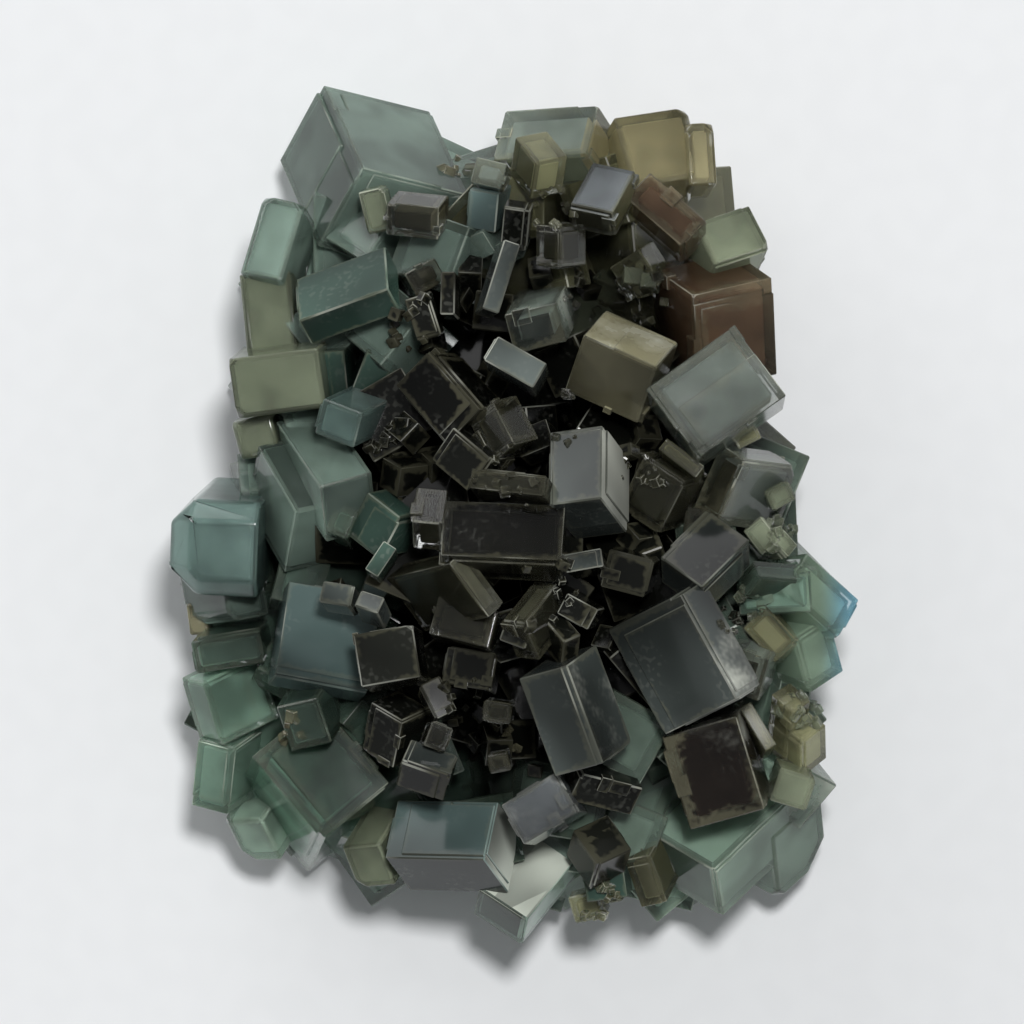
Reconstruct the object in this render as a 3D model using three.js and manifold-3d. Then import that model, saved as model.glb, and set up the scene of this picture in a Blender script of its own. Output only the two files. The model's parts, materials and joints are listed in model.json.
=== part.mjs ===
// Fluorite specimen: a flat-lying cluster of intergrown cubes, pale sea-green round the rim and smoky in
// the middle. The cubes have grown into one another, so the whole cluster is one solid, cut off flat below.
import * as THREE from "three";
import { mergeVertices } from "three/addons/utils/BufferGeometryUtils.js";
import Module from "manifold-3d";

// Driving dimensions, in millimetres
const CLUSTER_LENGTH = 110; // along Y
const CROWN_HEIGHT = 46; // top of the cluster's dome above the cut face
const RIM_DROP = 19; // how far the dome falls from the crown to the rim
const CUT_SIZE = 400; // side of the block that cuts the underside flat
const SKIRT_EDGE = 14; // edge of the cubes below the rim
const SKIRT_CENTRE = 8.5; // height of their middles
const ROOT_EDGE = 22; // edge of the large cubes that carry the visible ones
const ROOT_COVER = 16; // depth of their tops below the dome
const FOOT_EDGE = 22; // edge of the lowest cubes, which the cut goes through
const FOOT_CENTRE = 8.5; // height of their middles
const FILL_COUNT = 46; // small cubes that close the gaps between the visible ones
const FILL_EDGE = 9; // edge of the largest of them
const FILL_SIZES = 4; // number of sizes they come in
const FILL_STEP = 0.15; // from one size to the next, as a share of the largest
const FILL_COVER = 11; // depth of their middles below the dome
const FILL_REACH = 0.8; // how far out they stand, as a share of the rim
const SAW_CUT = 2; // how much of the lowest corners the cut takes off

// The photograph's frame: the cluster's outline in pixels
const OUTLINE = { left: 172, right: 864, top: 81, bottom: 945 };
const MM_PER_PIXEL = CLUSTER_LENGTH / (OUTLINE.bottom - OUTLINE.top);
const MIDDLE_X = (OUTLINE.left + OUTLINE.right) / 2;
const MIDDLE_Y = (OUTLINE.top + OUTLINE.bottom) / 2;
const HALF_WIDTH = ((OUTLINE.right - OUTLINE.left) / 2) * MM_PER_PIXEL;
const HALF_LENGTH = CLUSTER_LENGTH / 2;
const LEAST_LEAN = 0.02; // smallest cosine that two edges of a corner are taken to make
const TURN_STEP = 137.5; // degrees from one hidden cube to the next
const LEANS = [14, 27, 38]; // degrees that the hidden cubes lean, in turn
const SPIRAL_START = 0.5; // keeps the first small cube off the middle

// Visible crystals, read from the photograph. Each row gives a name, how far its near corner stands above
// the dome in millimetres, the pixel of that corner, the pixels where two of its edges end, and either the
// pixel where the third edge ends or, for a crystal seen face on, its depth in pixels.
const CRYSTALS = [
  // Upper left
  ["nw_large", 0, [362, 172], [322, 81], [471, 197], [318, 250]],
  ["nw_wedge", 1, [384, 190], [358, 196], [382, 233], 40],
  ["n_box", 2, [441, 212], [386, 206], [452, 196], [440, 246]],
  ["teal_block", 3, [391, 291], [299, 324], [387, 246], [405, 317]],
  ["teal_left", -5, [345, 350], [320, 352], [341, 412], 70],
  ["teal_right", -5, [367, 350], [344, 410], [394, 374], 70],
  ["green_shelf", -2, [404, 276], [436, 258], [424, 296], 50],
  ["lilac_chip", 0, [430, 294], [404, 302], [412, 336], 30],
  ["grey_blade", 1, [456, 318], [440, 318], [456, 274], 40],
  // Left rim
  ["w_blue", 0, [283, 284], [306, 206], [241, 274], 90],
  ["w_olive", -2, [291, 273], [240, 277], [290, 353], 90],
  ["w_rust", 1, [320, 350], [231, 361], [320, 410], 100],
  ["w_knob", -4, [272, 414], [232, 424], [262, 452], 60],
  // Left mass
  ["l_plate", 2, [366, 414], [324, 398], [356, 452], 80],
  ["l_roof", 4, [322, 487], [275, 420], [376, 472], [328, 545]],
  ["l_slab", 1, [298, 512], [258, 444], [352, 500], [285, 575]],
  ["l_green", 0, [350, 540], [362, 511], [327, 529], 70],
  ["l_step", 0, [403, 517], [368, 490], [380, 560], 60],
  ["l_chip", 1, [380, 577], [366, 568], [394, 545], 40],
  ["broken_top", 1, [262, 505], [280, 480], [258, 600], [178, 535]],
  ["broken_low", -2, [222, 570], [262, 562], [232, 622], [174, 576]],
  ["tan_bit", -8, [205, 602], [186, 604], [208, 634], 50],
  ["w_low", -5, [262, 628], [190, 640], [266, 664], 80],
  ["w_tile", 3, [277, 672], [372, 690], [290, 578], [267, 684]],
  ["w_small_a", 3, [352, 606], [320, 601], [357, 583], 40],
  ["w_small_b", 4, [380, 612], [355, 604], [388, 595], 40],
  ["dark_square", 5, [424, 675], [362, 686], [415, 620], 60],
  // Lower left
  ["sw_glass", 0, [205, 681], [264, 652], [224, 748], [179, 676]],
  ["sw_rim", -3, [236, 748], [197, 738], [228, 817], 90],
  ["sw_foot", -6, [262, 820], [221, 822], [281, 861], 80],
  ["sw_green", 3, [325, 836], [254, 752], [388, 776], [305, 877]],
  ["sw_cap", 0, [320, 694], [276, 704], [336, 742], 60],
  ["sw_cube", 3, [450, 773], [402, 756], [460, 750], [443, 800]],
  ["sw_cube_top", 2, [424, 741], [447, 750], [440, 720], 40],
  ["sw_dark", -2, [405, 720], [370, 700], [395, 768], 50],
  // Bottom
  ["s_olive", -4, [380, 842], [342, 846], [396, 884], 80],
  ["s_block", 2, [486, 854], [384, 853], [498, 797], [511, 890]],
  ["s_white", 0, [527, 917], [478, 885], [586, 845], [521, 945]],
  ["s_lilac", 3, [578, 809], [523, 843], [552, 768], 60],
  ["s_dark", 2, [597, 861], [572, 825], [633, 845], 55],
  ["s_shade", -1, [582, 770], [645, 786], [568, 800], 60],
  ["s_small_a", -4, [622, 852], [578, 858], [612, 896], 50],
  ["s_small_b", -3, [650, 852], [622, 858], [668, 902], 60],
  ["s_small_c", -8, [600, 888], [566, 898], [606, 916], 40],
  ["s_small_d", -6, [618, 880], [598, 884], [612, 900], 30],
  // Lower right
  ["se_brown", 2, [735, 712], [658, 734], [764, 808], 95],
  ["se_mint", 1, [712, 867], [641, 826], [812, 774], [721, 917]],
  ["se_pale", -4, [772, 838], [740, 820], [822, 795], [780, 902]],
  ["se_yellow", 1, [778, 764], [766, 800], [812, 784], 60],
  ["e_olive", 0, [800, 742], [765, 715], [826, 722], [802, 778]],
  ["e_tan", 0, [790, 712], [768, 692], [811, 699], 80],
  ["e_crust", -3, [812, 772], [793, 748], [838, 786], 60],
  ["e_side", 1, [763, 750], [737, 706], [775, 742], 60],
  // Right
  ["e_teal", 1, [808, 570], [733, 574], [805, 613], 60],
  ["e_teal_top", 0, [756, 576], [750, 558], [804, 580], 40],
  ["e_aqua_top", 0, [783, 591], [838, 640], [806, 550], 70],
  ["e_aqua_low", -1, [793, 639], [830, 615], [809, 696], 80],
  ["e_glass", 2, [769, 659], [728, 645], [784, 641], [757, 703]],
  ["e_shard", 1, [795, 640], [762, 604], [770, 662], 50],
  ["e_nub_a", -2, [780, 540], [760, 514], [755, 548], 40],
  ["e_nub_b", -3, [766, 539], [778, 524], [785, 560], 50],
  ["e_plate", 4, [699, 588], [655, 556], [749, 539], 50],
  ["e_step", 2, [742, 461], [713, 527], [800, 468], [716, 444]],
  ["e_ledge", -2, [762, 492], [786, 480], [772, 512], 50],
  ["pocket", -3, [720, 510], [684, 505], [715, 545], 40],
  // Upper right
  ["ne_frost", 5, [697, 460], [644, 388], [775, 387], 70],
  ["ne_steps", 4, [655, 372], [580, 338], [680, 343], [636, 428]],
  ["ne_red", 0, [690, 297], [772, 278], [695, 395], 100],
  ["ne_green", -2, [714, 268], [692, 224], [771, 248], 80],
  ["ne_ledge", -2, [728, 432], [752, 420], [742, 448], 50],
  ["ne_amber", -1, [632, 190], [613, 120], [706, 178], 80],
  ["ne_amber_low", 0, [688, 188], [684, 126], [714, 178], 80],
  ["ne_brown", 1, [679, 250], [622, 200], [706, 222], 60],
  // Top
  ["n_lilac", 4, [612, 217], [636, 172], [567, 207], [616, 242]],
  ["n_blue", 0, [586, 157], [490, 162], [599, 105], [610, 192]],
  ["n_olive", 3, [536, 167], [515, 140], [568, 160], [530, 203]],
  ["n_grey", 0, [502, 194], [469, 186], [506, 166], 70],
  ["n_column", -1, [500, 196], [468, 190], [496, 238], 50],
  ["n_twin", 2, [559, 229], [533, 226], [588, 225], [559, 273]],
  ["n_dark", 1, [530, 214], [503, 210], [534, 204], [526, 256]],
  // Middle
  ["blade", 2, [482, 312], [504, 242], [500, 317], 50],
  ["mid_grey", 3, [557, 304], [502, 317], [571, 277], [568, 346]],
  ["mid_blue", 4, [533, 392], [482, 363], [545, 364], 55],
  ["mid_dark", 2, [482, 411], [430, 351], [447, 447], 70],
  ["mid_left", 2, [492, 459], [453, 426], [468, 494], 60],
  ["mid_cube", 3, [513, 446], [488, 466], [541, 438], 50],
  ["mirror", 5, [601, 500], [602, 424], [546, 507], [628, 535]],
  ["core_step", 5, [562, 560], [440, 555], [566, 503], [564, 582]],
  ["core_wing", 3, [446, 523], [412, 520], [451, 488], [447, 553]],
  ["core_top", 4, [543, 497], [468, 489], [547, 475], 50],
  ["slope", 4, [450, 562], [490, 617], [385, 578], [466, 546]],
  ["slope_low", 0, [488, 647], [428, 633], [498, 606], 50],
  ["slope_right", 3, [525, 621], [500, 618], [558, 580], 50],
  ["plum", 0, [682, 483], [640, 455], [656, 535], 60],
  ["olive_band", 1, [693, 479], [655, 450], [702, 466], 50],
  ["dark_a", 1, [530, 634], [503, 624], [524, 648], 40],
  ["dark_b", 2, [563, 640], [540, 614], [582, 632], [560, 668]],
  ["dark_c", 0, [603, 566], [564, 573], [600, 546], 50],
  ["dark_d", 0, [652, 560], [606, 548], [640, 598], 60],
  ["dark_e", 1, [597, 607], [566, 590], [580, 625], 50],
  ["dark_f", -1, [490, 690], [440, 682], [478, 652], 50],
  ["centre_long", 4, [566, 661], [516, 675], [603, 761], [597, 640]],
  ["centre_big", 5, [677, 592], [604, 630], [735, 697], [702, 577]],
  ["grey_tile", 1, [438, 717], [420, 682], [459, 706], 50],
  ["tan_cube_a", 0, [512, 700], [484, 696], [506, 722], 30],
  ["tan_cube_b", 0, [508, 748], [486, 752], [512, 768], 25],
];

// Hidden cubes: pixels of their middles, under the rim, under the crown and at the cut
const SKIRT = [
  [365, 195], [325, 265], [320, 325], [320, 400], [320, 480], [265, 550], [270, 635],
  [272, 710], [290, 765], [345, 795], [420, 815], [505, 840], [580, 830], [655, 830],
  [725, 820], [745, 760], [740, 700], [760, 640], [755, 590], [725, 520], [705, 440],
  [695, 350], [680, 285], [640, 215], [580, 195], [510, 215], [435, 215],
];
const ROOTS = [
  [400, 260], [520, 260], [620, 260], [360, 380], [480, 380], [600, 380], [350, 520],
  [470, 520], [590, 520], [690, 520], [330, 650], [460, 650], [580, 650], [700, 650],
  [420, 770], [540, 780], [650, 780],
];
const FEET = [
  [420, 330], [560, 330], [400, 480], [530, 480], [650, 480],
  [400, 640], [530, 640], [650, 640], [470, 740], [600, 740],
];

const wasm = await Module();
wasm.setup();

// A point of the photograph in the part's own plane, in millimetres.
function planePoint([x, y]) {
  return new THREE.Vector3((x - MIDDLE_X) * MM_PER_PIXEL, (MIDDLE_Y - y) * MM_PER_PIXEL, 0);
}

// Height of the cluster's dome over a point of the plane.
function domeHeight(point) {
  const across = point.x / HALF_WIDTH;
  const along = point.y / HALF_LENGTH;
  return CROWN_HEIGHT - RIM_DROP * (across * across + along * along);
}

// How far the lean of two edges of a square corner, seen from above, makes their drops multiply to.
function dropProduct(a, b) {
  return Math.max(-a.dot(b), LEAST_LEAN * a.length() * b.length());
}

// The three edges that leave a crystal's near corner, square to each other.
function crystalEdges(near, ends, third) {
  const [a, b] = ends.map((end) => planePoint(end).sub(near));
  const ab = dropProduct(a, b);
  if (!Array.isArray(third)) {
    const ratio = Math.sqrt(a.length() / b.length());
    a.z = -Math.sqrt(ab) * ratio;
    b.z = -Math.sqrt(ab) / ratio;
    const inward = new THREE.Vector3().crossVectors(a, b);
    return [a, b, inward.setLength(-Math.sign(inward.z) * third * MM_PER_PIXEL)];
  }
  const c = planePoint(third).sub(near);
  const ac = dropProduct(a, c);
  const bc = dropProduct(b, c);
  a.z = -Math.sqrt((ab * ac) / bc);
  b.z = -Math.sqrt((ab * bc) / ac);
  c.z = -Math.sqrt((ac * bc) / ab);
  return [a, b, c];
}

// A box on three edges that leave one corner.
function crystalBox([, lift, corner, endA, endB, third]) {
  const near = planePoint(corner);
  const edges = crystalEdges(near, [endA, endB], third);
  near.z = domeHeight(near) + lift;
  const lengths = edges.map((edge) => edge.length());
  const u = edges[0].clone().normalize();
  const w = new THREE.Vector3().crossVectors(u, edges[1]).normalize();
  const v = new THREE.Vector3().crossVectors(w, u);
  const inward = Math.sign(w.dot(edges[2]));
  const turn = new THREE.Matrix4().makeBasis(u, v, w);
  const middle = near
    .clone()
    .addScaledVector(u, lengths[0] / 2)
    .addScaledVector(v, lengths[1] / 2)
    .addScaledVector(w, (inward * lengths[2]) / 2);
  return new THREE.BoxGeometry(...lengths).applyMatrix4(turn.setPosition(middle));
}

// A hidden cube, turned and leaning by its place in the row.
function hiddenCube(pixel, edge, height, index) {
  const middle = planePoint(pixel);
  middle.z = height(middle);
  const degrees = THREE.MathUtils.degToRad;
  const lean = new THREE.Euler(degrees(LEANS[index % LEANS.length]), 0, degrees(index * TURN_STEP), "ZXY");
  const turn = new THREE.Matrix4().makeRotationFromEuler(lean).setPosition(middle);
  return new THREE.BoxGeometry(edge, edge, edge).applyMatrix4(turn);
}

// A point on a sunflower spiral over the dome, so that the fill is spread evenly.
function fillPixel(index) {
  const reach = FILL_REACH * Math.sqrt((index + SPIRAL_START) / FILL_COUNT);
  const turn = THREE.MathUtils.degToRad(index * TURN_STEP);
  const across = (reach * HALF_WIDTH * Math.cos(turn)) / MM_PER_PIXEL;
  const along = (reach * HALF_LENGTH * Math.sin(turn)) / MM_PER_PIXEL;
  return [MIDDLE_X + across, MIDDLE_Y + along];
}

// A three.js geometry as a closed solid.
function solidOf(geometry) {
  geometry.deleteAttribute("normal");
  geometry.deleteAttribute("uv");
  const merged = mergeVertices(geometry);
  return new wasm.Manifold(
    new wasm.Mesh({
      numProp: 3,
      vertProperties: merged.attributes.position.array,
      triVerts: new Uint32Array(merged.index.array),
    }),
  );
}

// The solid's surface as a three.js geometry, stood on its cut face with the origin under its middle.
function standingGeometry(solid) {
  const { vertProperties, triVerts } = solid.getMesh();
  const geometry = new THREE.BufferGeometry()
    .setAttribute("position", new THREE.BufferAttribute(vertProperties, 3))
    .setIndex(new THREE.BufferAttribute(triVerts, 1));
  geometry.computeBoundingBox();
  const middle = geometry.boundingBox.getCenter(new THREE.Vector3());
  return geometry.translate(-middle.x, -middle.y, -geometry.boundingBox.min.z);
}

const skirtHeight = () => SKIRT_CENTRE;
const footHeight = () => FOOT_CENTRE;
const rootHeight = (point) => domeHeight(point) - ROOT_COVER - ROOT_EDGE / 2;
const fillHeight = (point) => domeHeight(point) - FILL_COVER;
const fillEdge = (index) => FILL_EDGE * (1 - FILL_STEP * (index % FILL_SIZES));
const fill = Array.from({ length: FILL_COUNT }, (_, i) => i);
const boxes = [
  ...CRYSTALS.map(crystalBox),
  ...SKIRT.map((pixel, i) => hiddenCube(pixel, SKIRT_EDGE, skirtHeight, i)),
  ...ROOTS.map((pixel, i) => hiddenCube(pixel, ROOT_EDGE, rootHeight, i)),
  ...FEET.map((pixel, i) => hiddenCube(pixel, FOOT_EDGE, footHeight, i)),
  ...fill.map((i) => hiddenCube(fillPixel(i), fillEdge(i), fillHeight, i)),
];
const below = solidOf(new THREE.BoxGeometry(CUT_SIZE, CUT_SIZE, CUT_SIZE)).translate([0, 0, -CUT_SIZE / 2]);
const grown = boxes.map(solidOf).reduce((cluster, box) => cluster.add(box));
const bodies = grown.subtract(below.translate([0, 0, SAW_CUT])).decompose();
const cluster = bodies.reduce((largest, body) => (body.volume() > largest.volume() ? body : largest));

const fluorite = new THREE.MeshStandardMaterial({ color: "#5b6f69", roughness: 0.12, metalness: 0 });
const crystalCluster = new THREE.Mesh(standingGeometry(cluster), fluorite);
crystalCluster.name = "crystal_cluster";

const specimen = new THREE.Group();
specimen.add(crystalCluster);

export default specimen;
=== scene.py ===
"""Fluorite specimen: intergrown cubes, clear outside and zoned inside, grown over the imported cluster."""

import json
import math
import random

import bpy
from mathutils import Euler, Matrix, Vector

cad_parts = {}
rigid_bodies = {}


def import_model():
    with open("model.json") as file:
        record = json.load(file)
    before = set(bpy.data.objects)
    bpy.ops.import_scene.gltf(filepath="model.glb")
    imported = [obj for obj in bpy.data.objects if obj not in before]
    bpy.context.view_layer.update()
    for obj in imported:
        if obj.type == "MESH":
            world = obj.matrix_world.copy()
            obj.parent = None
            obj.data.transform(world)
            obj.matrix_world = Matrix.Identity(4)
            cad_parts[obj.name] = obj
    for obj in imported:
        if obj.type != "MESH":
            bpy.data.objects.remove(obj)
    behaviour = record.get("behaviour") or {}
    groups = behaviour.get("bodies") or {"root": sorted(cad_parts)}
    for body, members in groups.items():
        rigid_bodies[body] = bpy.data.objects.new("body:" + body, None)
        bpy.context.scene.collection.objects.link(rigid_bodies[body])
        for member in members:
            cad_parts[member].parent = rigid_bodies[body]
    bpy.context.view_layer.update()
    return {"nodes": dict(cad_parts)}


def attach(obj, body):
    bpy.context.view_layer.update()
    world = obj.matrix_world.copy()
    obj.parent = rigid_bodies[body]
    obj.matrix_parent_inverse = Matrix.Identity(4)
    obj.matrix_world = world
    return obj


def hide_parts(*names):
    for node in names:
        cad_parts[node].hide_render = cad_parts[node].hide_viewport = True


bl_info = {
    "name": "Fluorite Specimen",
    "version": (1, 0, 0),
    "blender": (4, 5, 0),
    "location": "3D View > Sidebar > Fluorite",
    "description": "Grows a cluster of intergrown fluorite cubes with their sealed colour zones",
    "category": "Add Mesh",
}

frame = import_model()
CLUSTER_NODE = "crystal_cluster"
MM = 0.001

# The cluster's outline in the photograph, in pixels, and its size
OUTLINE_LEFT, OUTLINE_RIGHT, OUTLINE_TOP, OUTLINE_BOTTOM = 172, 864, 81, 945
IMAGE_SIDE = 1024
CLUSTER_LENGTH = 110.0
CROWN_HEIGHT = 46.0
RIM_DROP = 19.0
SAW_CUT = 2.0
MM_PER_PIXEL = CLUSTER_LENGTH / (OUTLINE_BOTTOM - OUTLINE_TOP)
MIDDLE_X = (OUTLINE_LEFT + OUTLINE_RIGHT) / 2
MIDDLE_Y = (OUTLINE_TOP + OUTLINE_BOTTOM) / 2
HALF_WIDTH = (OUTLINE_RIGHT - OUTLINE_LEFT) / 2 * MM_PER_PIXEL
HALF_LENGTH = CLUSTER_LENGTH / 2
LEAST_LEAN = 0.02
TURN_STEP = 137.5
LEANS = (14, 27, 38)

# Visible crystals: name, lift above the dome in mm, pixel of the near corner, pixels where two edges end,
# the pixel where the third ends or the depth in pixels, and the colour
CRYSTALS = (
    # Upper left
    ("nw_large", 0, (362, 172), (322, 81), (471, 197), (318, 250), "sea"),
    ("nw_wedge", 1, (384, 190), (358, 196), (382, 233), 40, "sage"),
    ("n_box", 2, (441, 212), (386, 206), (452, 196), (440, 246), "umber"),
    ("teal_block", 3, (391, 291), (299, 324), (387, 246), (405, 317), "teal"),
    ("teal_left", -5, (345, 350), (320, 352), (341, 412), 70, "teal"),
    ("teal_right", -5, (367, 350), (344, 410), (394, 374), 70, "teal"),
    ("green_shelf", -2, (404, 276), (436, 258), (424, 296), 50, "umber"),
    ("lilac_chip", 0, (430, 294), (404, 302), (412, 336), 30, "smoke"),
    ("grey_blade", 1, (456, 318), (440, 318), (456, 274), 40, "smoke"),
    # Left rim
    ("w_blue", 0, (283, 284), (306, 206), (241, 274), 90, "sea"),
    ("w_olive", -2, (291, 273), (240, 277), (290, 353), 90, "sage"),
    ("w_rust", 1, (320, 350), (231, 361), (320, 410), 100, "sage"),
    ("w_knob", -4, (272, 414), (232, 424), (262, 452), 60, "sage"),
    # Left mass
    ("l_plate", 2, (366, 414), (324, 398), (356, 452), 80, "blue"),
    ("l_roof", 4, (322, 487), (275, 420), (376, 472), (328, 545), "sea"),
    ("l_slab", 1, (298, 512), (258, 444), (352, 500), (285, 575), "sea"),
    ("l_green", 0, (350, 540), (362, 511), (327, 529), 70, "green"),
    ("l_step", 0, (403, 517), (368, 490), (380, 560), 60, "teal"),
    ("l_chip", 1, (380, 577), (366, 568), (394, 545), 40, "teal"),
    ("broken_top", 1, (262, 505), (280, 480), (258, 600), (178, 535), "blue"),
    ("broken_low", -2, (222, 570), (262, 562), (232, 622), (174, 576), "sea"),
    ("tan_bit", -8, (205, 602), (186, 604), (208, 634), 50, "tan"),
    ("w_low", -5, (262, 628), (190, 640), (266, 664), 80, "green"),
    ("w_tile", 3, (277, 672), (372, 690), (290, 578), (267, 684), "steel"),
    ("w_small_a", 3, (352, 606), (320, 601), (357, 583), 40, "slate"),
    ("w_small_b", 4, (380, 612), (355, 604), (388, 595), 40, "slate"),
    ("dark_square", 5, (424, 675), (362, 686), (415, 620), 60, "smoke"),
    # Lower left
    ("sw_glass", 0, (205, 681), (264, 652), (224, 748), (179, 676), "green"),
    ("sw_rim", -3, (236, 748), (197, 738), (228, 817), 90, "green"),
    ("sw_foot", -6, (262, 820), (221, 822), (281, 861), 80, "mint"),
    ("sw_green", 3, (325, 836), (254, 752), (388, 776), (305, 877), "moss"),
    ("sw_cap", 0, (320, 694), (276, 704), (336, 742), 60, "green"),
    ("sw_cube", 3, (450, 773), (402, 756), (460, 750), (443, 800), "smoke"),
    ("sw_cube_top", 2, (424, 741), (447, 750), (440, 720), 40, "umber"),
    ("sw_dark", -2, (405, 720), (370, 700), (395, 768), 50, "smoke"),
    # Bottom
    ("s_olive", -4, (380, 842), (342, 846), (396, 884), 80, "sage"),
    ("s_block", 2, (486, 854), (384, 853), (498, 797), (511, 890), "steel"),
    ("s_white", 0, (527, 917), (478, 885), (586, 845), (521, 945), "sea"),
    ("s_lilac", 3, (578, 809), (523, 843), (552, 768), 60, "lilac"),
    ("s_dark", 2, (597, 861), (572, 825), (633, 845), 55, "smoke"),
    ("s_shade", -1, (582, 770), (645, 786), (568, 800), 60, "smoke"),
    ("s_small_a", -4, (622, 852), (578, 858), (612, 896), 50, "teal"),
    ("s_small_b", -3, (650, 852), (622, 858), (668, 902), 60, "olive"),
    ("s_small_c", -8, (600, 888), (566, 898), (606, 916), 40, "olive"),
    ("s_small_d", -6, (618, 880), (598, 884), (612, 900), 30, "olive"),
    # Lower right
    ("se_brown", 2, (735, 712), (658, 734), (764, 808), 95, "cocoa"),
    ("se_mint", 1, (712, 867), (641, 826), (812, 774), (721, 917), "mint"),
    ("se_pale", -4, (772, 838), (740, 820), (822, 795), (780, 902), "mint"),
    ("se_yellow", 1, (778, 764), (766, 800), (812, 784), 60, "sage"),
    ("e_olive", 0, (800, 742), (765, 715), (826, 722), (802, 778), "olive"),
    ("e_tan", 0, (790, 712), (768, 692), (811, 699), 80, "olive"),
    ("e_crust", -3, (812, 772), (793, 748), (838, 786), 60, "mint"),
    ("e_side", 1, (763, 750), (737, 706), (775, 742), 60, "olive"),
    # Right
    ("e_teal", 1, (808, 570), (733, 574), (805, 613), 60, "green"),
    ("e_teal_top", 0, (756, 576), (750, 558), (804, 580), 40, "green"),
    ("e_aqua_top", 0, (783, 591), (838, 640), (806, 550), 70, "aqua"),
    ("e_aqua_low", -1, (793, 639), (830, 615), (809, 696), 80, "aqua"),
    ("e_glass", 2, (769, 659), (728, 645), (784, 641), (757, 703), "frost"),
    ("e_shard", 1, (795, 640), (762, 604), (770, 662), 50, "olive"),
    ("e_nub_a", -2, (780, 540), (760, 514), (755, 548), 40, "sage"),
    ("e_nub_b", -3, (766, 539), (778, 524), (785, 560), 50, "sage"),
    ("e_plate", 4, (699, 588), (655, 556), (749, 539), 50, "slate"),
    ("e_step", 2, (742, 461), (713, 527), (800, 468), (716, 444), "frost"),
    ("e_ledge", -2, (762, 492), (786, 480), (772, 512), 50, "sage"),
    ("pocket", -3, (720, 510), (684, 505), (715, 545), 40, "umber"),
    # Upper right
    ("ne_frost", 5, (697, 460), (644, 388), (775, 387), 70, "frost"),
    ("ne_steps", 4, (655, 372), (580, 338), (680, 343), (636, 428), "tan"),
    ("ne_red", 0, (690, 297), (772, 278), (695, 395), 100, "brown"),
    ("ne_green", -2, (714, 268), (692, 224), (771, 248), 80, "sage"),
    ("ne_ledge", -2, (728, 432), (752, 420), (742, 448), 50, "olive"),
    ("ne_amber", -1, (632, 190), (613, 120), (706, 178), 80, "amber"),
    ("ne_amber_low", 0, (688, 188), (684, 126), (714, 178), 80, "amber"),
    ("ne_brown", 1, (679, 250), (622, 200), (706, 222), 60, "brown"),
    # Top
    ("n_lilac", 4, (612, 217), (636, 172), (567, 207), (616, 242), "lilac"),
    ("n_blue", 0, (586, 157), (490, 162), (599, 105), (610, 192), "frost"),
    ("n_olive", 3, (536, 167), (515, 140), (568, 160), (530, 203), "olive"),
    ("n_grey", 0, (502, 194), (469, 186), (506, 166), 70, "frost"),
    ("n_column", -1, (500, 196), (468, 190), (496, 238), 50, "steel"),
    ("n_twin", 2, (559, 229), (533, 226), (588, 225), (559, 273), "umber"),
    ("n_dark", 1, (530, 214), (503, 210), (534, 204), (526, 256), "smoke"),
    # Middle
    ("blade", 2, (482, 312), (504, 242), (500, 317), 50, "slate"),
    ("mid_grey", 3, (557, 304), (502, 317), (571, 277), (568, 346), "frost"),
    ("mid_blue", 4, (533, 392), (482, 363), (545, 364), 55, "slate"),
    ("mid_dark", 2, (482, 411), (430, 351), (447, 447), 70, "smoke"),
    ("mid_left", 2, (492, 459), (453, 426), (468, 494), 60, "smoke"),
    ("mid_cube", 3, (513, 446), (488, 466), (541, 438), 50, "umber"),
    ("mirror", 5, (601, 500), (602, 424), (546, 507), (628, 535), "slate"),
    ("core_step", 5, (562, 560), (440, 555), (566, 503), (564, 582), "umber"),
    ("core_wing", 3, (446, 523), (412, 520), (451, 488), (447, 553), "umber"),
    ("core_top", 4, (543, 497), (468, 489), (547, 475), 50, "umber"),
    ("slope", 4, (450, 562), (490, 617), (385, 578), (466, 546), "umber"),
    ("slope_low", 0, (488, 647), (428, 633), (498, 606), 50, "umber"),
    ("slope_right", 3, (525, 621), (500, 618), (558, 580), 50, "umber"),
    ("plum", 0, (682, 483), (640, 455), (656, 535), 60, "umber"),
    ("olive_band", 1, (693, 479), (655, 450), (702, 466), 50, "olive"),
    ("dark_a", 1, (530, 634), (503, 624), (524, 648), 40, "smoke"),
    ("dark_b", 2, (563, 640), (540, 614), (582, 632), (560, 668), "smoke"),
    ("dark_c", 0, (603, 566), (564, 573), (600, 546), 50, "smoke"),
    ("dark_d", 0, (652, 560), (606, 548), (640, 598), 60, "smoke"),
    ("dark_e", 1, (597, 607), (566, 590), (580, 625), 50, "smoke"),
    ("dark_f", -1, (490, 690), (440, 682), (478, 652), 50, "smoke"),
    ("centre_long", 4, (566, 661), (516, 675), (603, 761), (597, 640), "slate"),
    ("centre_big", 5, (677, 592), (604, 630), (735, 697), (702, 577), "slate"),
    ("grey_tile", 1, (438, 717), (420, 682), (459, 706), 50, "smoke"),
    ("tan_cube_a", 0, (512, 700), (484, 696), (506, 722), 30, "umber"),
    ("tan_cube_b", 0, (508, 748), (486, 752), (512, 768), 25, "umber"),
)

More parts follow.
